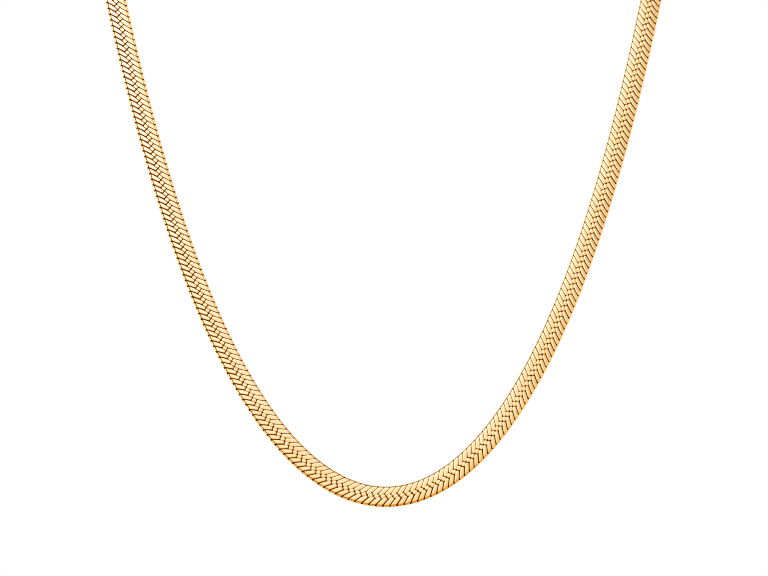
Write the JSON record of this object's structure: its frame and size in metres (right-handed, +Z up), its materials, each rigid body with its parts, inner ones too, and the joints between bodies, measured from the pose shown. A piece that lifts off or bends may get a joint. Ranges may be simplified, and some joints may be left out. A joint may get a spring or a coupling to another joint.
{
  "type": "herringbone chain",
  "caption": "Flat herringbone neck chain as a whole loop in its worn form: a deep front drop, a plain way round the neck and a plain clasp at the nape.",
  "frame": {"origin": "middle of the clasp's inner face, where the chain sits against the nape", "axes": "+Z up as worn, -Y towards the front of the wearer, where the chain drops, +X to the right as seen from the front"},
  "size_m": [0.124, 0.0672, 0.1444],
  "materials": {
    "chain_gold": "polished gold, each link's flats slightly crowned",
    "clasp_gold": "polished gold"
  },
  "bodies": {
    "root": {"chain": "chain_gold", "clasp": "clasp_gold"}
  },
  "joints": []
}
